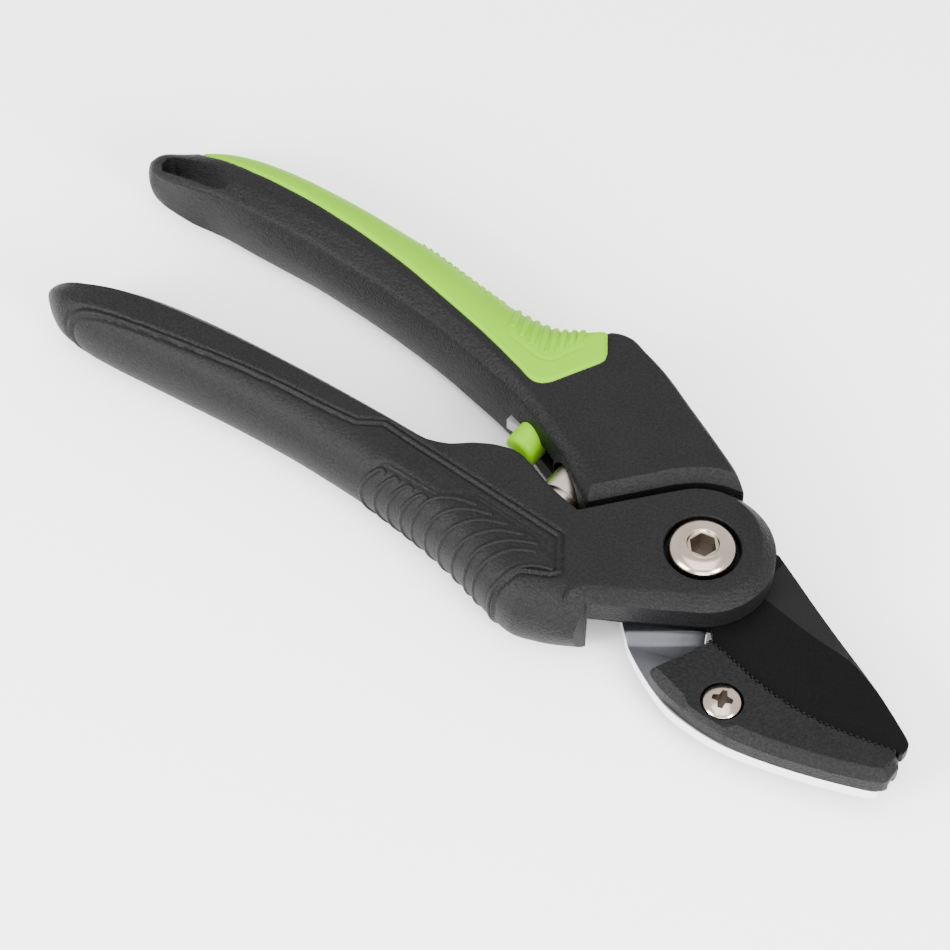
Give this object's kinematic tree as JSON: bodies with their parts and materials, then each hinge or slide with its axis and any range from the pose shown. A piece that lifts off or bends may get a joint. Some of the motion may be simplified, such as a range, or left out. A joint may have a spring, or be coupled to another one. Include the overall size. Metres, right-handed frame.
{
  "type": "anvil pruning shears",
  "caption": "Hand pruning shears with a coated blade that closes on a padded anvil arm, two curved handles with soft grips, a return spring and a sliding lock.",
  "frame": {"origin": "the pivot axis where it meets the surface the closed shears lie on, at the centre of the pivot bolt's flat end", "axes": "+X runs from the pivot to the jaw tip, +Y points to the anvil lever's handle, +Z runs along the pivot axis to the bolt's head"},
  "size_m": [0.2187, 0.0684, 0.0214],
  "materials": {
    "black_nylon": "fine spark texture, satin",
    "green_soft_grip": "soft over-moulding, satin",
    "black_soft_grip": "soft over-moulding, satin",
    "green_plastic": "semi gloss",
    "arm_steel": "dark satin faces, bright ground edge",
    "coated_steel": "black non-stick coating",
    "nickel_steel": "nickel plated",
    "washer_steel": "zinc plated"
  },
  "bodies": {
    "anvil_lever": {"upper_handle_core": "black_nylon", "upper_grip": "green_soft_grip", "anvil_arm": "arm_steel", "anvil_pad": "black_nylon", "anvil_screw": "nickel_steel", "pivot_bolt": "nickel_steel", "blade_washer": "washer_steel", "nut_washer": "washer_steel", "pivot_nut": "nickel_steel", "return_spring": "nickel_steel", "upper_spring_stud": "washer_steel", "lock_detent_spring": "washer_steel"},
    "blade_lever": {"lower_handle_core": "black_nylon", "lower_grip": "black_soft_grip", "blade": "coated_steel", "pivot_bush": "washer_steel", "lock_catch_pin": "washer_steel", "lower_spring_stud": "washer_steel"},
    "lock_slider": {"lock_button": "green_plastic", "lock_slide": "washer_steel", "lock_rivet": "washer_steel"}
  },
  "joints": [
    {"name": "handle_pivot", "type": "hinge", "parent": "anvil_lever", "child": "blade_lever", "pos_m": [0, 0, 0.01], "axis": [0, 0, 1], "range_deg": [0, 28], "deforming": ["return_spring"]},
    {"name": "lock_slide", "type": "slide", "parent": "anvil_lever", "child": "lock_slider", "axis": [1, 0, 0], "range_m": [0, 0.0045]}
  ]
}
